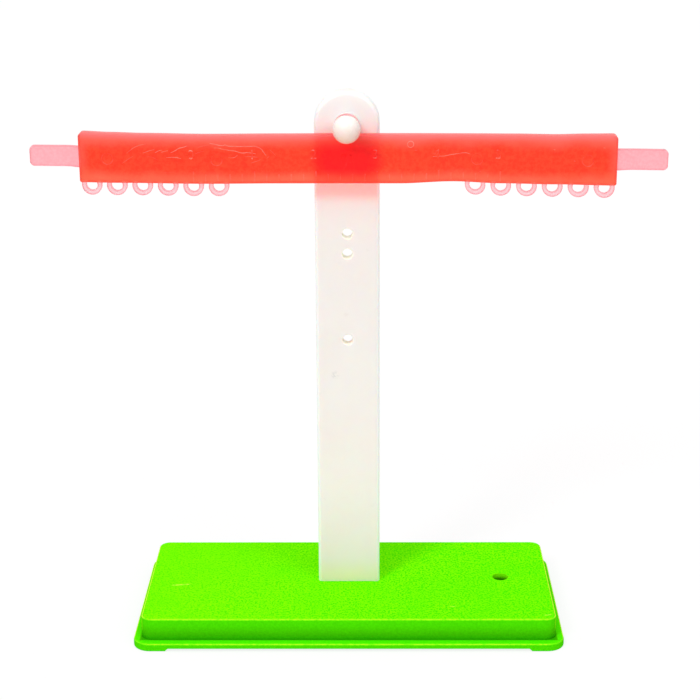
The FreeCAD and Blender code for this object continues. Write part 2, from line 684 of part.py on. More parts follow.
def make_screws():
    """The right-hand screw and its mirror image, as one group of two solids."""
    right = make_screw("foot_screw")
    left = document.addObject("Part::Mirroring", "foot_screw_left")
    left.Source = right
    left.Normal = FreeCAD.Vector(1, 0, 0)
    pair = document.addObject("Part::Compound", "base_screws")
    pair.Links = [right, left]
    pair.Label = "base_screws"
    document.recompute()
    return pair


pieces = [make_base(), make_column(), make_beam(), make_pin(), make_spacer(), make_cap(), make_screws()]
document.recompute()

for item in document.Objects:
    if "Invalid" in item.State or "Error" in item.State:
        raise RuntimeError("%s is %s" % (item.Label, item.State))
for piece in pieces:
    if piece.Shape.isNull() or not piece.Shape.isValid():
        raise RuntimeError(piece.Label + " has no valid shape")

os.makedirs("parts", exist_ok=True)
for piece in pieces:
    piece.Shape.exportStep(os.path.join("parts", piece.Label + ".step"))
    box = piece.Shape.BoundBox
    print("%-14s solids %d  volume %9.1f  x %7.2f %7.2f  y %7.2f %7.2f  z %7.2f %7.2f" % (
        piece.Label, len(piece.Shape.Solids), piece.Shape.Volume,
        box.XMin, box.XMax, box.YMin, box.YMax, box.ZMin, box.ZMax))
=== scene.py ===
"""The lever balance demonstrator's finishes, moulded beam, floor, light and camera. Lengths are in metres."""
import json
import math

import bmesh
import bpy
from mathutils import Matrix, Vector


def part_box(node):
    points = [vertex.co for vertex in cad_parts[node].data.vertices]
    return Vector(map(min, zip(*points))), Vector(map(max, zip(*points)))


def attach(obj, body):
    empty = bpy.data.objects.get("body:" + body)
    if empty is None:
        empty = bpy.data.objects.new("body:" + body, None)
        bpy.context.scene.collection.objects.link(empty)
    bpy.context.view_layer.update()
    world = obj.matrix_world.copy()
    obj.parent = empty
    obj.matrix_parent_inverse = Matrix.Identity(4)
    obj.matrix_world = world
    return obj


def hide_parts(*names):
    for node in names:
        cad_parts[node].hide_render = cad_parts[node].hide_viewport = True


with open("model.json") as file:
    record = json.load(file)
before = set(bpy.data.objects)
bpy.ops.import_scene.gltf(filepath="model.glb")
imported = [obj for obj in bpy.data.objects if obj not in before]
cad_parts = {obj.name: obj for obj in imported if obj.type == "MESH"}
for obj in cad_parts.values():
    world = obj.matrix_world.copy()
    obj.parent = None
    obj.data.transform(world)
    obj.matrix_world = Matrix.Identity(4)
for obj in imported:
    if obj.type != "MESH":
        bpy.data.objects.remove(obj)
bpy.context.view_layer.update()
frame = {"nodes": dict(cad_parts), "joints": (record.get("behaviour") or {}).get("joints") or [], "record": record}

MM = 0.001
CRISP_ANGLE = math.radians(32)


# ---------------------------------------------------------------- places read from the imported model

base_low, base_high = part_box("base")
beam_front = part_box("beam")[0].y
pivot = Vector(frame["joints"][0]["pos_m"])
mounts = {mount["name"]: Vector(mount["pos_m"]) for mount in frame["record"]["mounts"]}

FLANGE_TOP = base_low.z + 3.6 * MM
PLATFORM_TOP = base_high.z
PLATFORM_HALF_X = base_high.x - 3.45 * MM
PLATFORM_HALF_Y = base_high.y - 4.2 * MM
PEG_PLACE = mounts["plinth_peg_hole"]
PEG_RADIUS = 3.55 * MM

RING_PITCH = mounts["right_ring_2"].x - mounts["right_ring_1"].x
RING_Z = mounts["right_ring_1"].z
RING_OUTER = 4.25 * MM
RING_INNER = 2.4 * MM

TONGUE_REACH = mounts["right_tongue"].x
TONGUE_Z = mounts["right_tongue"].z
TONGUE_HALF = 4.25 * MM

SLAB_HALF = TONGUE_REACH - 21.2 * MM
SLAB_TOP = pivot.z - 3.0 * MM
SLAB_LOW = RING_Z + 1.35 * MM
SLAB_MIDDLE = (SLAB_TOP + SLAB_LOW) / 2
THIN_THICKNESS = 2.0 * MM
EJECTOR_RADIUS = 2.3 * MM
EJECTOR_PLACES = (53.8 * MM, SLAB_HALF - 12.1 * MM)

# The ticks and the figures stand this proud of the slab's front.
SCALE_RELIEF = 0.15 * MM
SLAB_FACE = beam_front + SCALE_RELIEF
FIGURE_HEIGHT = 3.9 * MM
FIGURE_Z = pivot.z - 10.7 * MM


# ---------------------------------------------------------------- building materials

# The sockets of a Mix node that mixes colours.
MIX_SHARE, MIX_FIRST, MIX_SECOND, MIX_COLOUR = 0, 6, 7, 2


class Nodes:
    """The nodes of a material or a world. An input is given as a plain value or as another node's output."""

    def __init__(self, owner):
        self.owner = owner
        self.owner.use_nodes = True
        self.tree = owner.node_tree
        self.tree.nodes.clear()

    def add(self, kind, inputs=None, **settings):
        """A new node with its own settings, and its inputs by name or by number."""
        node = self.tree.nodes.new("ShaderNode" + kind)
        for name, value in settings.items():
            setattr(node, name, value)
        for name, value in (inputs or {}).items():
            if isinstance(value, bpy.types.NodeSocket):
                self.tree.links.new(value, node.inputs[name])
            else:
                node.inputs[name].default_value = value
        return node

    def place(self):
        return self.add("TexCoord").outputs["Object"]

    def normal(self):
        """The three parts of the way that the surface faces."""
        return self.along(self.add("NewGeometry").outputs["Normal"])

    def along(self, vector):
        """A vector's three parts."""
        return self.add("SeparateXYZ", {0: vector}).outputs

    def noise(self, size, detail=2.0, roughness=0.5, stretch=None, distortion=0.0):
        """Noise whose blotches are about size metres across."""
        where = self.place()
        if stretch:
            where = self.add("Mapping", {"Vector": where, "Scale": stretch}).outputs[0]
        return self.add("TexNoise", {"Vector": where, "Scale": 1 / size, "Detail": detail,
                                     "Roughness": roughness, "Distortion": distortion}).outputs["Fac"]

    def math(self, operation, first, second=0.0):
        return self.add("Math", {0: first, 1: second}, operation=operation).outputs[0]

    def vector(self, operation, first, second):
        return self.add("VectorMath", {0: first, 1: second}, operation=operation).outputs

    def magnitude(self, value):
        return self.math("ABSOLUTE", value)

    def rest(self, share):
        """What a share leaves of 1."""
        return self.math("SUBTRACT", 1.0, share)

    def square(self, across, up):
        """The square of the length of a vector with two parts."""
        return self.math("ADD", self.math("POWER", across, 2.0), self.math("POWER", up, 2.0))

    def length(self, across, up):
        return self.math("SQRT", self.square(across, up))

    def ramp(self, value, low, high, to_low=0.0, to_high=1.0, smooth=True):
        """A value between low and high, taken to a value between to_low and to_high."""
        return self.add("MapRange", {"Value": value, "From Min": low, "From Max": high,
                                     "To Min": to_low, "To Max": to_high},
                        interpolation_type="SMOOTHSTEP" if smooth else "LINEAR").outputs[0]

    def fade(self, value, low, high):
        """1 up to low, and 0 from high on."""
        return self.ramp(value, low, high, 1.0, 0.0)

    def both(self, *shares):
        """The product of some shares."""
        product = shares[0]
        for share in shares[1:]:
            product = self.math("MULTIPLY", product, share)
        return product

    def blend(self, share, first, second, mode="MIX"):
        """Two colours mixed by a share of the second."""
        inputs = {MIX_SHARE: share}
        for socket, colour in ((MIX_FIRST, first), (MIX_SECOND, second)):
            inputs[socket] = colour if isinstance(colour, bpy.types.NodeSocket) else (*colour, 1.0)
        return self.add("Mix", inputs, data_type="RGBA", blend_type=mode).outputs[MIX_COLOUR]

    def streak(self, start, end, half_width):
        """1 along a straight scratch between two (x, y) places on a level face, fading out to its sides."""
        start, end = Vector((*start, 0)), Vector((*end, 0))
        run = (end - start).normalized()
        across = Vector((-run.y, run.x, 0))
        offset = self.vector("SUBTRACT", self.place(), (start + end) / 2)[0]
        along = self.vector("DOT_PRODUCT", offset, run)["Value"]
        aside = self.vector("DOT_PRODUCT", offset, across)["Value"]
        half_length = (end - start).length / 2
        return self.both(self.fade(self.magnitude(along), half_length * 0.6, half_length),
                         self.fade(self.magnitude(aside), 0.0, half_width))

    def bump(self, height, distance, under=None):
        """The surface's way of facing, tipped by a height of up to distance metres."""
        inputs = {"Height": height, "Distance": distance}
        if under is not None:
            inputs["Normal"] = under
        return self.add("Bump", inputs).outputs[0]

    def finish(self, surface, volume=None):
        inputs = {"Surface": surface}
        if volume is not None:
            inputs["Volume"] = volume
        self.add("OutputMaterial", inputs)
        return self.owner


def new_finish(name):
    """The nodes of a new material."""
    return Nodes(bpy.data.materials.new(name))


def give(piece, material):
    piece.data.materials.clear()
    piece.data.materials.append(material)


# ---------------------------------------------------------------- the plinth's finish

LIME = (0.015, 0.78, 0.0005)
LIME_GRAIN = (0.250, 0.98, 0.001)
LIME_CLOUD = (0.075, 0.85, 0.0005)
LIME_LEFT = (0.260, 0.98, 0.001)
LIME_FLANGE = (0.060, 0.83, 0.001)
# The walls' colours are painted shade, and the foot's colours are deeper painted shade.
LIME_WALL_SHADE = (0.040, 0.67, 0.0005)
LIME_WALL_SHADE_GRAIN = (0.058, 0.75, 0.0005)
LIME_FOOT_SHADE = (0.022, 0.36, 0.0003)
LIME_FOOT_SHADE_GRAIN = (0.030, 0.41, 0.0003)
# Painted shade in the crease where the wall stands on the flange.
LIME_CREASE_SHADE = (0.014, 0.26, 0.0002)
# Painted light at the top of the peg hole's wall, and painted shade deeper in.
LIME_HOLE_LIT = (0.220, 1.0, 0.001)
LIME_HOLE_SHADE = (0.012, 0.16, 0.0001)
# Painted highlights on the edge rounds, along the front and the two sides.
LIME_EDGE_HIGHLIGHT = (0.40, 0.97, 0.012)
LIME_SIDE_HIGHLIGHT = (0.80, 1.0, 0.070)
LIME_RUB_AND_HIGHLIGHT = (0.70, 1.0, 0.06)
LIME_SKIN = (0.7, 1.0, 0.02, 1.0)
SKIN_SHARE = 0.04

# Rub marks on the plinth's top, the last a painted highlight on the right front corner's round: start, end
# and half width in millimetres.
RUBS_AND_HIGHLIGHT = (
    ((-80.5, -7.0), (-71.0, -5.6), 0.75),
    ((44.0, -28.4), (47.4, -27.7), 0.35),
    ((84.6, -36.6), (88.4, -35.8), 0.5),
)

# What lies this far above or below a face is no longer part of it.
OFF_FACE = 0.02 * MM


def lime_faces(n, normal, x, above, grain, cloud):
    """Mottled level faces, yellower to the left, and more even walls.

    The walls carry painted shade, which is darker towards the flange.
    """
    level = n.ramp(normal[2], 0.35, 0.95)
    top = n.blend(n.ramp(grain, 0.37, 0.63), LIME, LIME_GRAIN)
    top = n.blend(n.ramp(cloud, 0.35, 0.7, 0.0, 0.35), top, LIME_CLOUD)
    top = n.blend(n.ramp(x, -80 * MM, 20 * MM, 0.20, 0.0), top, LIME_LEFT)
    flange = n.both(level, n.fade(above, 0.3 * MM, 0.6 * MM))
    top = n.blend(n.math("MULTIPLY", flange, 0.85), top, LIME_FLANGE)
    # Painted shade: the walls are a darker copy of the colour, and darker still towards the flange.
    wall_grain = n.ramp(grain, 0.32, 0.68)
    wall = n.blend(wall_grain, LIME_WALL_SHADE, LIME_WALL_SHADE_GRAIN)
    foot = n.blend(wall_grain, LIME_FOOT_SHADE, LIME_FOOT_SHADE_GRAIN)
    low_wall_shade = n.both(n.fade(above, 0.3 * MM, 8.0 * MM), n.math("GREATER_THAN", above, OFF_FACE))
    return n.blend(level, n.blend(low_wall_shade, wall, foot), top)


def lime_crease(n, x, y, above):
    """Painted shade in the crease along the foot of the wall, on the flange."""
    from_wall = n.math("MAXIMUM", n.math("SUBTRACT", n.magnitude(x), PLATFORM_HALF_X),
                       n.math("SUBTRACT", n.magnitude(y), PLATFORM_HALF_Y))
    return n.both(n.fade(from_wall, 0.0, 0.9 * MM), n.fade(above, 0.0, 0.8 * MM))


def lime_edges(n, normal, x, y, above, off_hole):
    """The rounds along the edges carry a painted highlight, broken by speckle, strongest on the two sides.

    Gives how much painted highlight a place has, and how much it belongs to a side's edge.
    """
    rounded = n.both(n.ramp(normal[2], 0.32, 0.62), n.fade(normal[2], 0.80, 0.98), off_hole)
    side_on = n.ramp(n.magnitude(normal[0]), 0.3, 0.6)
    near_corner = n.both(n.ramp(n.magnitude(x), PLATFORM_HALF_X - 5 * MM, PLATFORM_HALF_X - 1.5 * MM),
                         n.fade(y, -PLATFORM_HALF_Y + 1 * MM, -PLATFORM_HALF_Y + 5 * MM))
    speckle = n.ramp(n.noise(1.6 * MM, detail=3.0, roughness=0.7), 0.36, 0.60, 0.25, 1.0)
    edge_highlight = n.both(rounded, n.math("MAXIMUM", speckle, n.math("MULTIPLY", side_on, 0.9)),
                  n.rest(n.math("MULTIPLY", near_corner, 0.8)))
    # A fainter painted highlight stands on each front corner, where its round faces mostly sideways.
    sideways = n.magnitude(n.math("SUBTRACT", n.magnitude(normal[0]), 0.93))
    corner_highlight = n.both(n.fade(n.magnitude(normal[2]), 0.1, 0.3), n.fade(sideways, 0.0, 0.10),
                         n.math("LESS_THAN", normal[1], 0.0), n.ramp(above, 2.5 * MM, 5.0 * MM))
    edge_highlight = n.math("MAXIMUM", edge_highlight, n.math("MULTIPLY", corner_highlight, 0.45))
    return edge_highlight, n.both(side_on, rounded)


def lime_plastic():
    """The plinth: opaque lime polypropylene, with a few rub marks.

    Its edges carry painted highlights, and its walls, crease and peg hole painted light and shade.
    """
    n = new_finish("plinth_green")
    normal = n.normal()
    x, y, z = n.along(n.place())
    above = n.math("SUBTRACT", z, FLANGE_TOP)
    grain = n.noise(0.9 * MM, detail=2.0, roughness=0.7)
    cloud = n.noise(38 * MM, detail=3.0, distortion=0.8)
    colour = lime_faces(n, normal, x, above, grain, cloud)
    colour = n.blend(n.math("MULTIPLY", lime_crease(n, x, y, above), 0.75), colour, LIME_CREASE_SHADE)
    # Painted light and shade on the peg hole's wall: lighter at its top, and dark further down.
    off_peg = n.length(n.math("SUBTRACT", x, PEG_PLACE.x), n.math("SUBTRACT", y, PEG_PLACE.y))
    in_hole = n.math("LESS_THAN", off_peg, PEG_RADIUS + 0.3 * MM)
    sunk = n.math("SUBTRACT", PLATFORM_TOP, z)
    hole_wall = n.blend(n.ramp(sunk, 0.7 * MM, 3.3 * MM), LIME_HOLE_LIT, LIME_HOLE_SHADE)
    colour = n.blend(n.both(in_hole, n.math("GREATER_THAN", sunk, OFF_FACE)), colour, hole_wall)
    edge_highlight, on_side = lime_edges(n, normal, x, y, above, n.rest(in_hole))
    colour = n.blend(edge_highlight, colour, n.blend(on_side, LIME_EDGE_HIGHLIGHT, LIME_SIDE_HIGHLIGHT))
    on_top = n.math("GREATER_THAN", z, PLATFORM_TOP - 0.1 * MM)
    # The last streak is a painted highlight, and the others are rub marks.
    for start, end, half_width in RUBS_AND_HIGHLIGHT:
        rub = n.streak(*([place * MM for place in point] for point in (start, end)), half_width * MM)
        share = n.both(rub, n.ramp(n.noise(1.1 * MM), 0.35, 0.6, 0.35, 1.0), on_top)
        colour = n.blend(share, colour, LIME_RUB_AND_HIGHLIGHT)
    texture = n.bump(n.noise(0.45 * MM, detail=3.0), 0.03 * MM)
    texture = n.bump(cloud, 0.25 * MM, under=texture)
    body = n.add("BsdfPrincipled", {
        "Base Color": colour, "Roughness": 0.6, "Specular IOR Level": 0.0, "Normal": texture})
    gloss = n.ramp(grain, 0.3, 0.7, 0.28, 0.42)
    skin = n.add("BsdfAnisotropic", {"Color": LIME_SKIN, "Roughness": gloss, "Normal": texture})
    shader = n.add("MixShader", {0: SKIN_SHARE, 1: body.outputs[0], 2: skin.outputs[0]})
    return n.finish(shader.outputs[0])


# ---------------------------------------------------------------- the white pieces' finish

def milky_plastic(name, colour, tint, roughness, depth, shade_of=None):
    """White styrene, clouded from colour to tint. Light gets into it about as far as depth.

    shade_of takes the material's nodes and gives a colour that is multiplied in.
    """
    n = new_finish(name)
    cloud = n.noise(30 * MM, detail=3.0, distortion=0.5)
    grain = n.noise(1.2 * MM, detail=3.0)
    smudge = n.noise(9 * MM, detail=2.0, distortion=1.2)
    shade = n.blend(n.ramp(cloud, 0.3, 0.7), colour, tint)
    shade = n.blend(n.ramp(grain, 0.35, 0.65, 0.0, 0.25), shade, tint)
    soiled = [part * 0.93 for part in colour]
    shade = n.blend(n.ramp(smudge, 0.66, 0.80, 0.0, 0.5), shade, soiled)
    if shade_of:
        shade = n.blend(1.0, shade, shade_of(n), mode="MULTIPLY")
    texture = n.bump(grain, 0.012 * MM)
    texture = n.bump(cloud, 0.2 * MM, under=texture)
    handled = n.ramp(n.noise(4 * MM, detail=4.0), 0.3, 0.7, roughness, roughness + 0.12)
    body = n.add("BsdfPrincipled", {
        "Base Color": shade, "Roughness": handled, "Normal": texture,
        "Subsurface Weight": 0.5, "Subsurface Radius": (1.0, 0.6, 0.4), "Subsurface Scale": depth})
    return n.finish(body.outputs[0])


# The upright's painted light in red, green and blue: the factor of painted yellow bounce at its foot, how
# far up the platform that fades out, and the factor of painted light at its head and on its side edges.
UPRIGHT_PAINTED_TINTS = ((1.095, 110 * MM, 1.095), (0.89, 48 * MM, 1.155), (0.76, 13 * MM, 1.175))
UPRIGHT_HEAD_LIGHT = (186 * MM, 204 * MM)
# A tint's reach is the distance from its middle at which it starts to fade, and the one at which it is gone.
# The holes' walls are painted lighter by this tint.
HOLE_PAINTED_LIGHT = (1.22, 1.15, 1.03)
HOLE_REACH = (2.3 * MM, 2.75 * MM)
SMUDGE_PLACE = (-5.7 * MM, 112.0 * MM)
SMUDGE_REACH = (0.3 * MM, 2.4 * MM)
SMUDGE_TINT = (0.72, 0.74, 0.76)


def upright_shade(n):
    """The upright: painted yellow bounce light at its foot, painted light at its head, side edges and holes.

    It has one grey smudge.
    """
    normal = n.normal()
    x, _, z = n.along(n.place())
    up = n.math("SUBTRACT", z, PLATFORM_TOP)
    # Painted light on the head's top and rounds, and on the side edges.
    head = n.both(n.ramp(up, *UPRIGHT_HEAD_LIGHT), n.fade(normal[1], -0.9, -0.5))
    side = n.both(n.ramp(n.magnitude(normal[0]), 0.10, 0.60), n.fade(head, 0.0, 1.0))
    parts = []
    for foot, reach, top in UPRIGHT_PAINTED_TINTS:
        part = n.ramp(up, 0.0, reach, foot, 1.0)
        for share in (head, side):
            part = n.math("MULTIPLY", part, n.ramp(share, 0.0, 1.0, 1.0, top, smooth=False))
        parts.append(part)
    shade = n.add("CombineXYZ", dict(enumerate(parts))).outputs[0]
    place = n.add("CombineXYZ", {0: x, 1: 0.0, 2: z}).outputs[0]

    def away(centre_x, centre_z):
        """How far a point lies from a front-to-back axis."""
        return n.vector("DISTANCE", place, (centre_x, 0.0, centre_z))["Value"]

    # Painted light on the holes' walls, standing in for light that gets through the thin front wall.
    for hole in ("upper_peg_hole", "middle_peg_hole", "lower_peg_hole"):
        off_axis = away(mounts[hole].x, mounts[hole].z)
        shade = n.blend(n.fade(off_axis, *HOLE_REACH), shade, HOLE_PAINTED_LIGHT)
    smudge = n.both(n.ramp(away(*SMUDGE_PLACE), *SMUDGE_REACH, 0.55, 0.0),
                    n.ramp(n.noise(0.8 * MM), 0.40, 0.60))
    return n.blend(smudge, shade, SMUDGE_TINT)


# Painted light by the way the ball faces: a warm top, and the beam's red on its underside.
BALL_TOP_TINT = (1.05, 1.0, 0.975)
BALL_LOW_RED_GLOW = (1.16, 0.80, 0.73)


def ball_shade(n):
    """Painted red light on the ball's underside, where the beam's red shines up on it, and a warm tint on top."""
    return n.blend(n.fade(n.normal()[2], -0.75, 0.75), BALL_TOP_TINT, BALL_LOW_RED_GLOW)


# ---------------------------------------------------------------- the beam's finish

RED = (1.0, 0.068, 0.017)
RED_MOTTLE = (1.0, 0.128, 0.034)
# Painted shade where the upright stands behind the beam.
RED_UPRIGHT_SHADE = (1.0, 0.014, 0.026)
# Painted light along the slab's top edge and its borders.
RED_TOP_EDGE_LIGHT = (1.0, 0.36, 0.36)
RED_TOP_BORDER_LIGHT = (1.0, 0.28, 0.19)
RED_LOW_BORDER_LIGHT = (1.0, 0.30, 0.150)
RED_RIM = (1.0, 0.075, 0.050)
# Painted highlight on the ticks, figures and flow marks.
RED_PROUD_HIGHLIGHT = (1.0, 0.92, 0.82)
RED_EJECTOR = (1.0, 0.40, 0.30)
RED_OUTLINE = (1.0, 0.38, 0.44)
TONGUE_PALE, TONGUE_HAZE = (1.0, 0.55, 0.60), (1.0, 0.66, 0.71)
RING_PALE, RING_HAZE = (1.0, 0.79, 0.83), (1.0, 0.92, 0.95)
# The lug is thin, and painted paler still, as painted light lifting the ball's shadow.
LUG_PALE_AND_LIT = (1.0, 0.86, 0.88)
ABSORBED = (1.0, 0.1, 0.15, 1.0)

# The half width and half height of the painted shade under the pivot, where the upright stands behind the beam.
UPRIGHT_SHADE_HALF = (17 * MM, 12 * MM)

# Flow marks are lower than FLOW_MOST, and ticks and figures are higher than SCALE_LEAST.
FLOW_MOST = 0.12 * MM
SCALE_LEAST = 0.13 * MM
TICKS_REACH = 6.0 * MM


def red_slab(n, x, z, from_end, from_low):
    """The slab has painted light along its borders, is deep in its middle, and has painted shade under the pivot.
    """
    from_top = n.math("SUBTRACT", SLAB_TOP, z)
    wander = n.ramp(n.noise(14 * MM, detail=2.0), 0.2, 0.8, -1.5 * MM, 1.5 * MM, smooth=False)
    core = n.both(n.ramp(n.math("ADD", from_top, wander), 0.5 * MM, 7.0 * MM),
                  n.ramp(n.math("ADD", from_low, wander), 0.0, 6.0 * MM),
                  n.ramp(from_end, 0.0, 5.0 * MM, 0.45, 1.0))
    border_light = n.blend(n.ramp(from_top, 0.0, 3.0 * MM), RED_TOP_EDGE_LIGHT, RED_TOP_BORDER_LIGHT)
    border_light = n.blend(n.fade(from_low, 3.0 * MM, 8.0 * MM), border_light, RED_LOW_BORDER_LIGHT)
    mottle = n.ramp(n.noise(1.8 * MM, detail=3.0, roughness=0.7), 0.38, 0.62)
    deep = n.blend(mottle, RED, RED_MOTTLE)
    # Painted shade under the pivot, where the upright stands behind the beam.
    off_upright_shade = n.square(n.math("DIVIDE", x, UPRIGHT_SHADE_HALF[0]),
                        n.math("DIVIDE", n.math("SUBTRACT", z, SLAB_MIDDLE), UPRIGHT_SHADE_HALF[1]))
    deep = n.blend(n.ramp(off_upright_shade, 0.20, 1.0, 0.95, 0.0), deep, RED_UPRIGHT_SHADE)
    # The slab's bottom edge and its ends show as a darker line.
    rim = n.ramp(n.math("MINIMUM", from_low, from_end), 0.15 * MM, 0.65 * MM, 0.7, 0.0)
    return n.blend(rim, n.blend(core, border_light, deep), RED_RIM)


def red_relief(n, y, z, from_low, patches):
    """How much painted highlight a place of the slab's front gets as part of a tick, a figure or a flow mark."""
    height = n.math("SUBTRACT", SLAB_FACE, y)
    proud = n.math("GREATER_THAN", height, SCALE_LEAST)
    from_figures = n.magnitude(n.math("SUBTRACT", z, FIGURE_Z))
    in_figures = n.fade(from_figures, FIGURE_HEIGHT * 0.54, FIGURE_HEIGHT * 0.58)
    # The figures' level strokes, at their tops and bottoms, get the most painted highlight.
    stroke_highlight = n.ramp(from_figures, FIGURE_HEIGHT * 0.28, FIGURE_HEIGHT * 0.45, 0.10, 1.0)
    figure = n.both(proud, in_figures, stroke_highlight, patches)
    tick = n.both(proud, n.math("LESS_THAN", from_low, TICKS_REACH),
                  n.ramp(patches, 0.0, 1.0, 0.02, 0.16, smooth=False))
    flow = n.both(n.ramp(height, 0.002 * MM, 0.04 * MM), n.ramp(patches, 0.0, 1.0, 0.50, 1.0, smooth=False),
                  n.rest(n.math("GREATER_THAN", height, FLOW_MOST)))
    return n.math("MAXIMUM", n.math("MAXIMUM", flow, figure), tick)


def red_ejector(n, place, z, reach, patches):
    """An ejector mark shows by a pale, broken outline, which is stronger at its foot."""
    above = n.math("SUBTRACT", z, SLAB_MIDDLE)
    radius = n.length(n.math("SUBTRACT", reach, place), above)
    outline = n.fade(n.magnitude(n.math("SUBTRACT", radius, EJECTOR_RADIUS)), 0.0, 0.28 * MM)
    lower = n.ramp(above, -EJECTOR_RADIUS, EJECTOR_RADIUS, 1.0, 0.3)
    return n.both(outline, lower, n.ramp(patches, 0.0, 1.0, 0.15, 0.75, smooth=False))


def red_thin(n, z, reach):
    """Tongues, rings and lug are pale, with a deeper line round their outlines."""
    below = n.math("LESS_THAN", z, SLAB_LOW)
    on_top = n.math("GREATER_THAN", z, SLAB_TOP)
    haze = n.ramp(n.noise(1.1 * MM, detail=3.0), 0.3, 0.7)
    pale = n.blend(below, n.blend(haze, TONGUE_PALE, TONGUE_HAZE), n.blend(haze, RING_PALE, RING_HAZE))
    # The lug is painted paler, with a fainter outline, as painted light lifting the ball's shadow.
    pale = n.blend(on_top, pale, LUG_PALE_AND_LIT)
    ring_r = n.length(n.math("PINGPONG", reach, RING_PITCH / 2), n.math("SUBTRACT", z, RING_Z))
    ring_edge = n.math("MINIMUM", n.math("SUBTRACT", RING_OUTER, ring_r),
                       n.math("SUBTRACT", ring_r, RING_INNER))
    off_tongue = n.magnitude(n.math("SUBTRACT", z, TONGUE_Z))
    tongue_edge = n.math("MINIMUM", n.math("SUBTRACT", TONGUE_REACH, reach),
                         n.math("SUBTRACT", TONGUE_HALF, off_tongue))
    edge = n.add("Mix", {"Factor": below, "A": tongue_edge, "B": ring_edge}).outputs["Result"]
    outlined = n.ramp(on_top, 0.0, 1.0, 0.75, 0.35)
    return n.blend(n.both(n.fade(edge, 0.05 * MM, 0.6 * MM), outlined), pale, RED_OUTLINE)


def red_plastic():
    """The beam: hazy clear red styrene, paler where it is thin.

    It has painted light at its borders, painted highlights where it stands proud, and painted shade under the
    pivot.
    """
    n = new_finish("beam_red")
    x, y, z = n.along(n.add("Attribute", attribute_name="unbent").outputs["Vector"])
    reach = n.magnitude(x)
    from_end = n.math("SUBTRACT", SLAB_HALF, reach)
    from_low = n.math("SUBTRACT", z, SLAB_LOW)
    patches = n.ramp(n.noise(2.2 * MM, detail=3.0), 0.36, 0.60)
    colour = red_slab(n, x, z, from_end, from_low)
    colour = n.blend(red_relief(n, y, z, from_low, patches), colour, RED_PROUD_HIGHLIGHT)
    for place in EJECTOR_PLACES:
        colour = n.blend(red_ejector(n, place, z, reach, patches), colour, RED_EJECTOR)
    past_slab = n.math("MAXIMUM", n.math("GREATER_THAN", reach, SLAB_HALF - 0.1 * MM),
                       n.math("MAXIMUM", n.math("LESS_THAN", z, SLAB_LOW - OFF_FACE),
                              n.math("GREATER_THAN", z, SLAB_TOP + OFF_FACE)))
    off_middle = n.magnitude(n.math("SUBTRACT", y, pivot.y))
    thin = n.both(n.math("LESS_THAN", off_middle, THIN_THICKNESS * 0.52), past_slab)
    colour = n.blend(thin, colour, red_thin(n, z, reach))

    texture = n.bump(n.noise(1.4 * MM, detail=3.0), 0.04 * MM)
    texture = n.bump(n.noise(22 * MM, detail=2.0, distortion=0.6), 0.35 * MM, under=texture)
    body = n.add("BsdfPrincipled", {
        "Base Color": colour, "Roughness": 0.5, "IOR": 1.4, "Transmission Weight": 0.85,
        "Specular IOR Level": 0.2, "Normal": texture})
    # The lamps' rays go straight through, so that the beam's shadow is red.
    clear = n.add("BsdfTransparent", {"Color": colour})
    from_lamp = n.add("LightPath").outputs["Is Shadow Ray"]
    shader = n.add("MixShader", {0: from_lamp, 1: body.outputs[0], 2: clear.outputs[0]})
    inside = n.add("VolumeAbsorption", {"Color": ABSORBED, "Density": 120.0})
    return n.finish(shader.outputs[0], inside.outputs[0])


# ---------------------------------------------------------------- the screws' finish

STEEL = (0.50, 0.49, 0.47)
STEEL_BRIGHT = (0.66, 0.65, 0.62)


def steel():
    """Zinc-plated screw steel, turned."""
    n = new_finish("screw_steel")
    brush = n.noise(0.5 * MM, detail=4.0, stretch=(1.0, 1.0, 12.0))
    colour = n.blend(n.ramp(brush, 0.3, 0.7), STEEL, STEEL_BRIGHT)
    texture = n.bump(brush, 0.01 * MM)
    body = n.add("BsdfPrincipled", {"Base Color": colour, "Metallic": 1.0,
                                    "Roughness": n.ramp(brush, 0.3, 0.7, 0.22, 0.38), "Normal": texture})
    return n.finish(body.outputs[0])


# ---------------------------------------------------------------- the beam as moulded

YAW = math.radians(-1.0)
SLICE = 2.5 * MM

# How far the slab's top and bottom edges lie above their drawn places, and how far the whole beam lies to the
# right of its own: (x, shift) in millimetres. The two edges' shifts meet in the tongues.
TOP_RISE = ((-132, 1.2), (-117, 1.1), (-111, 1.05), (-98, 0.5), (-85, 0.1), (-58, -0.3), (-28, -0.12),
            (0, 0.0), (30, 0.0), (48, -0.05), (70, -0.15), (87, -0.4), (98, -0.15), (111, -0.05),
            (117, -0.33), (132, -0.52))
LOW_RISE = ((-132, 1.2), (-117, 1.1), (-111, 0.33), (-95, 0.09), (-58, -0.3), (-28, -0.08), (0, 0.0),
            (22, 0.0), (44, 0.9), (64, 0.05), (86, -0.38), (111, -0.87), (117, -0.33), (132, -0.52))
SIDEWAYS = ((-132.45, 0.75), (-118, 0.35), (-108, 0.20), (-100, 0.0), (85, 0.0), (104, 0.22), (112, 0.22),
            (132.45, 0.0))

FIGURE_STEP = 25.4 * MM
FIRST_FIGURE_X = -64.4 * MM
LAST_FIGURE = 5

FLOW_RADIUS = 0.36 * MM
FLOW_RELIEF = 0.11 * MM

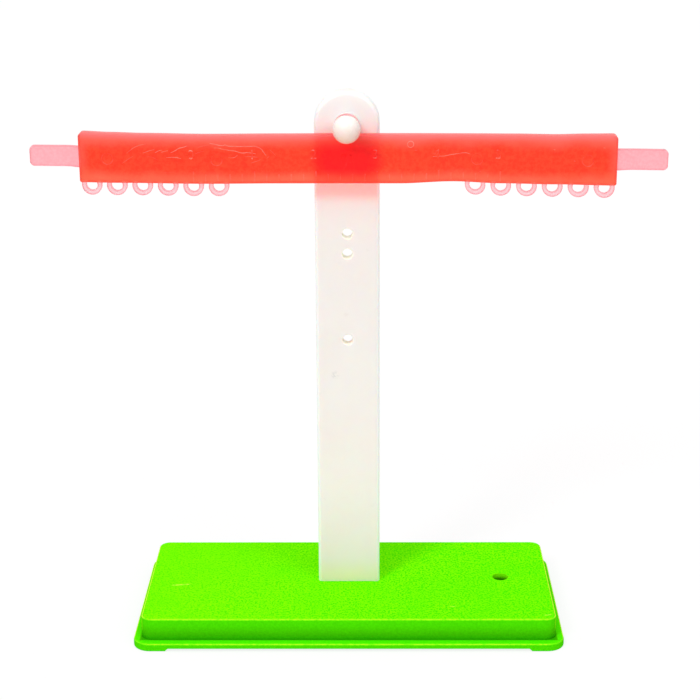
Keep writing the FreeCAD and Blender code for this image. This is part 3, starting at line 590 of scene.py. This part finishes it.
# Flow marks in the slab's front: how full the ridge is, and its places as (x, depth below the pivot) in
# millimetres.
FLOW_MARKS = (
    (1.00, ((-56.5, 5.9), (-54.4, 6.3), (-52.6, 6.8), (-50.8, 6.9), (-50.1, 6.5), (-48.9, 7.2), (-46.9, 7.2),
            (-44.4, 7.3), (-41.4, 7.3), (-39.4, 7.3), (-37.9, 7.2), (-36.4, 7.7), (-35.1, 8.4), (-34.2, 9.9),
            (-33.2, 11.2))),
    (1.00, ((-54.8, 7.9), (-53.0, 7.7), (-51.2, 8.5), (-50.2, 8.6), (-47.7, 9.0), (-45.7, 9.2), (-44.2, 9.9),
            (-42.7, 10.1), (-40.2, 9.8), (-37.4, 10.5))),
    (1.00, ((-72.7, 10.1), (-70.8, 9.3), (-69.4, 8.1), (-67.6, 7.8), (-65.8, 7.1))),
    (1.00, ((-84.1, 10.3), (-81.9, 9.5), (-79.4, 8.8))),
    (1.00, ((-79.1, 10.2), (-77.6, 9.1), (-76.2, 9.1))),
    (1.00, ((-76.6, 10.0), (-75.1, 9.4), (-73.7, 9.2))),
    (1.00, ((-74.5, 12.1), (-72.0, 11.9), (-69.9, 12.0), (-68.5, 12.5))),
    (0.85, ((-82.7, 11.9), (-79.9, 11.8), (-78.1, 13.3))),
    (0.85, ((-61.9, 7.8), (-59.4, 6.8), (-56.5, 6.7))),
    (0.85, ((-62.7, 10.5), (-61.6, 9.7), (-58.7, 9.2))),
    (0.90, ((-42.2, 11.6), (-40.2, 11.4), (-38.2, 11.8), (-36.5, 11.9))),
    (0.90, ((-48.8, 11.9), (-47.0, 12.2), (-45.7, 11.6), (-44.7, 10.8))),
    (0.90, ((-39.3, 14.2), (-37.3, 13.7), (-35.5, 12.9))),
    (0.90, ((-33.0, 12.4), (-31.8, 11.5))),
    (0.80, ((-32.9, 7.1), (-31.5, 8.8), (-29.7, 10.7), (-28.2, 12.4))),
    (0.80, ((-34.3, 15.5), (-32.8, 14.9), (-31.5, 14.3))),
    (0.90, ((-90.9, 10.6), (-88.6, 8.5), (-86.1, 7.2), (-82.8, 6.5))),
    (0.90, ((-92.9, 14.8), (-89.9, 12.7), (-88.4, 11.8))),
    (0.80, ((-78.0, 18.3), (-74.0, 18.4), (-70.1, 18.0))),
    (0.80, ((-76.1, 15.0), (-75.4, 16.3))),
    (0.95, ((35.6, 12.0), (37.6, 11.7), (39.7, 12.0), (42.4, 11.3), (45.8, 10.8), (48.2, 10.3), (49.9, 10.4),
            (50.9, 10.9))),
    (0.90, ((28.1, 9.2), (29.3, 9.0))),
    (1.00, ((36.8, 9.8), (37.0, 9.3))),
    (0.80, ((46.5, 12.8), (48.9, 13.3))),
    (0.85, ((43.5, 17.9), (44.9, 19.2))),
    (0.90, ((54.4, 18.6), (55.3, 18.0))),
    (1.00, ((85.1, 8.3), (85.4, 8.5), (85.8, 8.4))),
    (1.00, ((93.4, 13.2), (93.7, 13.1), (94.1, 13.3))),
    (1.00, ((105.3, 7.7), (105.7, 7.9), (106.1, 7.8))),
)

# A faint raised ring in the slab's front: centre as above, and radius, in millimetres.
MOULD_RING = (26.4, 6.6, 1.4)
RING_CORNERS = 8
RING_FULLNESS = 0.93
END_FULLNESS = 0.88


def on_front(x, depth, sink):
    """A place at or behind the slab's front face, from millimetres."""
    return Vector((x * MM, SLAB_FACE + sink, pivot.z - depth * MM))


def as_mesh(data):
    """The faces of a curve or a text."""
    holder = bpy.data.objects.new(data.name, data)
    bpy.context.scene.collection.objects.link(holder)
    mesh = bpy.data.meshes.new_from_object(holder)
    bpy.data.objects.remove(holder)
    return mesh


def figure_mesh(figure):
    """A raised figure on the slab's front, reaching a little way into it."""
    text = bpy.data.curves.new("figure", "FONT")
    text.body = str(figure)
    text.align_x = "CENTER"
    text.resolution_u = 4
    text.extrude = 1.0
    mesh = as_mesh(text)
    low = min(vertex.co.y for vertex in mesh.vertices)
    high = max(vertex.co.y for vertex in mesh.vertices)
    size = FIGURE_HEIGHT / (high - low)
    for vertex in mesh.vertices:
        across, up, out = vertex.co
        vertex.co = (FIRST_FIGURE_X + figure * FIGURE_STEP + across * size,
                     SLAB_FACE - out * SCALE_RELIEF,
                     FIGURE_Z + (up - (low + high) / 2) * size)
    return mesh


def new_ridge(curve, count):
    """A smooth line of a curve, with room for some points."""
    ridge = curve.splines.new("NURBS")
    ridge.points.add(count - 1)
    ridge.order_u = 3
    ridge.resolution_u = 3
    return ridge


def flow_mesh():
    """The flow marks and the ring: thin rounded ridges, lower at their open ends."""
    curve = bpy.data.curves.new("flow", "CURVE")
    curve.dimensions = "3D"
    curve.bevel_depth = FLOW_RADIUS
    curve.bevel_resolution = 1
    curve.use_fill_caps = True
    sink = FLOW_RADIUS - FLOW_RELIEF
    for fullness, mark in FLOW_MARKS:
        ridge = new_ridge(curve, len(mark))
        ridge.use_endpoint_u = True
        for index, (point, place) in enumerate(zip(ridge.points, mark)):
            point.co = (*on_front(*place, sink), 1.0)
            point.radius = fullness * (END_FULLNESS if index in (0, len(mark) - 1) else 1.0)
    centre_x, depth, radius = MOULD_RING
    ring = new_ridge(curve, RING_CORNERS)
    ring.use_cyclic_u = True
    for index, point in enumerate(ring.points):
        turn = 2 * math.pi * index / RING_CORNERS
        place = (centre_x + radius * math.cos(turn), depth + radius * math.sin(turn))
        point.co = (*on_front(*place, sink), 1.0)
        point.radius = RING_FULLNESS
    return as_mesh(curve)


# Points closer together than these are taken as one, when meshes are welded and when the beam is cut.
WELD_REACH = 0.001 * MM
CUT_REACH = 0.0005 * MM


def welded(meshes, name):
    """Some meshes as one object, with its doubled points joined."""
    shape = bmesh.new()
    for mesh in meshes:
        shape.from_mesh(mesh)
    bmesh.ops.remove_doubles(shape, verts=shape.verts, dist=WELD_REACH)
    bmesh.ops.recalc_face_normals(shape, faces=shape.faces)
    mesh = bpy.data.meshes.new(name)
    shape.to_mesh(mesh)
    shape.free()
    piece = bpy.data.objects.new(name, mesh)
    bpy.context.scene.collection.objects.link(piece)
    return piece


def between(places, x):
    """The smooth curve through some (x, rise) places, read at x. Millimetres."""
    if x <= places[0][0]:
        return places[0][1]
    for (start, low), (end, high) in zip(places, places[1:]):
        if x <= end:
            share = (x - start) / (end - start)
            return low + (high - low) * share * share * (3 - 2 * share)
    return places[-1][1]


def bent(place):
    """Where the moulding's cooling and the pivot's play have taken a point of the drawn beam."""
    x = place.x / MM
    share = min(max((place.z - SLAB_LOW) / (SLAB_TOP - SLAB_LOW), 0.0), 1.0)
    rise = between(LOW_RISE, x) * (1 - share) + between(TOP_RISE, x) * share
    offset = place + Vector((between(SIDEWAYS, x), 0, rise)) * MM - pivot
    return Matrix.Rotation(YAW, 3, "Z") @ offset + pivot


def raised_beam():
    """The CAD beam's mesh, with the figures and the flow marks raised on it."""
    plain = welded([frame["nodes"]["beam"].data], "plain_beam")
    relief = welded([figure_mesh(figure) for figure in range(LAST_FIGURE + 1)] + [flow_mesh()], "relief")
    union = plain.modifiers.new("union", "BOOLEAN")
    union.operation = "UNION"
    union.solver = "EXACT"
    union.use_self = True
    union.object = relief
    bpy.context.view_layer.update()
    mesh = bpy.data.meshes.new_from_object(plain.evaluated_get(bpy.context.evaluated_depsgraph_get()))
    for scrap in (plain, relief):
        bpy.data.objects.remove(scrap)
    return mesh


def make_beam():
    """The raised beam, cut into slices and bent as the real one is."""
    shape = bmesh.new()
    shape.from_mesh(raised_beam())
    slices = int(TONGUE_REACH / SLICE)
    for index in range(-slices, slices + 1):
        bmesh.ops.bisect_plane(shape, geom=shape.verts[:] + shape.edges[:] + shape.faces[:], dist=CUT_REACH,
                               plane_co=(index * SLICE, 0, 0), plane_no=(1, 0, 0))
    unbent = shape.verts.layers.float_vector.new("unbent")
    for vertex in shape.verts:
        vertex[unbent] = vertex.co
        vertex.co = bent(vertex.co)
    for face in shape.faces:
        face.smooth = True
    mesh = bpy.data.meshes.new("moulded_beam")
    shape.to_mesh(mesh)
    shape.free()
    mesh.set_sharp_from_angle(angle=CRISP_ANGLE)
    beam = bpy.data.objects.new("moulded_beam", mesh)
    bpy.context.scene.collection.objects.link(beam)
    normals = beam.modifiers.new("face_normals", "WEIGHTED_NORMAL")
    normals.keep_sharp = True
    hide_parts("beam")
    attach(beam, "beam")
    return beam


# ---------------------------------------------------------------- which piece has which finish

upright_white = milky_plastic("upright_white", colour=(0.90, 0.85, 0.82), tint=(0.915, 0.87, 0.845),
                              roughness=0.4, depth=3.0 * MM, shade_of=upright_shade)
pin_white = milky_plastic("pin_white", colour=(0.92, 0.88, 0.85), tint=(0.94, 0.91, 0.88),
                          roughness=0.22, depth=4.0 * MM, shade_of=ball_shade)
fitting_white = milky_plastic("fitting_white", colour=(0.86, 0.83, 0.79), tint=(0.90, 0.87, 0.83),
                              roughness=0.35, depth=2.0 * MM)
red = red_plastic()

finishes = {"base": lime_plastic(), "column": upright_white, "pivot_pin": pin_white,
            "spacer_washer": fitting_white, "pin_cap": fitting_white, "base_screws": steel()}
for node, finish in finishes.items():
    give(frame["nodes"][node], finish)
give(make_beam(), red)


# ---------------------------------------------------------------- floor, light and camera

def seen_ray(n):
    """1 for a ray whose hit shows in the picture, straight or by gloss or through the beam, else 0."""
    path = n.add("LightPath").outputs
    share = n.math("MAXIMUM", path["Is Camera Ray"], path["Is Glossy Ray"])
    return n.math("MAXIMUM", share, path["Is Transmission Ray"])


FLOOR_HALF = 6.0
# How far inside the plinth's outline the plain patch of floor ends.
FLOOR_INSET = 3 * MM
FLOOR_GREY = (0.8, 0.8, 0.8, 1.0)
FLOOR_WHITE = (0.95, 0.95, 0.95, 1.0)
WHITE = (1, 1, 1, 1)
# How much of the floor's own shading shows through the white.
SHADOW_SHARE = 0.18


def make_floor():
    """A pale floor that shows as white, with a little of the part's shadow. Under the plinth it is plain."""
    mesh = bpy.data.meshes.new("floor")
    corners = [(x * FLOOR_HALF, y * FLOOR_HALF, 0) for x, y in ((-1, -1), (1, -1), (1, 1), (-1, 1))]
    mesh.from_pydata(corners, [], [(0, 1, 2, 3)])
    floor = bpy.data.objects.new("floor", mesh)
    bpy.context.scene.collection.objects.link(floor)
    n = new_finish("floor_white")
    x, y, _ = n.along(n.place())
    covered = n.both(n.math("LESS_THAN", n.magnitude(x), base_high.x - FLOOR_INSET),
                     n.math("LESS_THAN", n.magnitude(y), base_high.y - FLOOR_INSET))
    plain = n.add("BsdfDiffuse", {"Color": FLOOR_GREY}).outputs[0]
    shaded = n.add("BsdfDiffuse", {"Color": FLOOR_WHITE}).outputs[0]
    white = n.add("Emission", {"Color": WHITE, "Strength": 1.0}).outputs[0]
    backdrop = n.add("MixShader", {0: SHADOW_SHARE, 1: white, 2: shaded}).outputs[0]
    shown = n.both(seen_ray(n), n.rest(covered))
    give(floor, n.finish(n.add("MixShader", {0: shown, 1: plain, 2: backdrop}).outputs[0]))


def make_world(fill):
    """White where it is seen, and a weaker fill for the part."""
    world = bpy.data.worlds.new("studio")
    bpy.context.scene.world = world
    n = Nodes(world)
    strength = n.ramp(seen_ray(n), 0.0, 1.0, fill, 1.0, smooth=False)
    light = n.add("Background", {"Color": WHITE, "Strength": strength})
    n.add("OutputWorld", {"Surface": light.outputs[0]})


def make_lamp(name, towards, strength, spread):
    """A far, soft lamp in the direction towards, as seen from the part.

    Strength is how bright it alone makes a white face square to it, and spread is its width in degrees.
    """
    data = bpy.data.lights.new(name, "SUN")
    data.energy = strength * math.pi
    data.angle = math.radians(spread)
    lamp = bpy.data.objects.new(name, data)
    lamp.rotation_euler = Vector(towards).to_track_quat("Z", "Y").to_euler()
    bpy.context.scene.collection.objects.link(lamp)


# The camera that the photo's edges fit.
CAMERA_PLACE = (8.412 * MM, -710.79 * MM, 355.70 * MM)
CAMERA_TURN = math.radians(0.608)
CAMERA_TILT = math.radians(90 - 18.157)
CAMERA_ROLL = math.radians(-0.296)
CAMERA_LENS = 88.59
SENSOR_WIDTH = 36.0
SIGHT = 30.0


def make_camera():
    data = bpy.data.cameras.new("camera")
    data.sensor_width = SENSOR_WIDTH
    data.lens = CAMERA_LENS
    data.clip_end = SIGHT
    camera = bpy.data.objects.new("camera", data)
    turn = Matrix.Rotation(CAMERA_TURN, 4, "Z")
    tilt = Matrix.Rotation(CAMERA_TILT, 4, "X")
    roll = Matrix.Rotation(CAMERA_ROLL, 4, "Z")
    camera.matrix_world = Matrix.Translation(CAMERA_PLACE) @ turn @ tilt @ roll
    bpy.context.scene.collection.objects.link(camera)
    bpy.context.scene.camera = camera


make_floor()
make_world(fill=0.35)
make_lamp("key", towards=(-0.70, -1.0, 1.00), strength=0.36, spread=16)
make_lamp("fill", towards=(0.9, -1.0, 1.1), strength=0.15, spread=30)
make_lamp("overhead", towards=(0.0, -0.1, 1.0), strength=0.45, spread=75)
make_camera()
bpy.context.scene.view_settings.view_transform = "Standard"
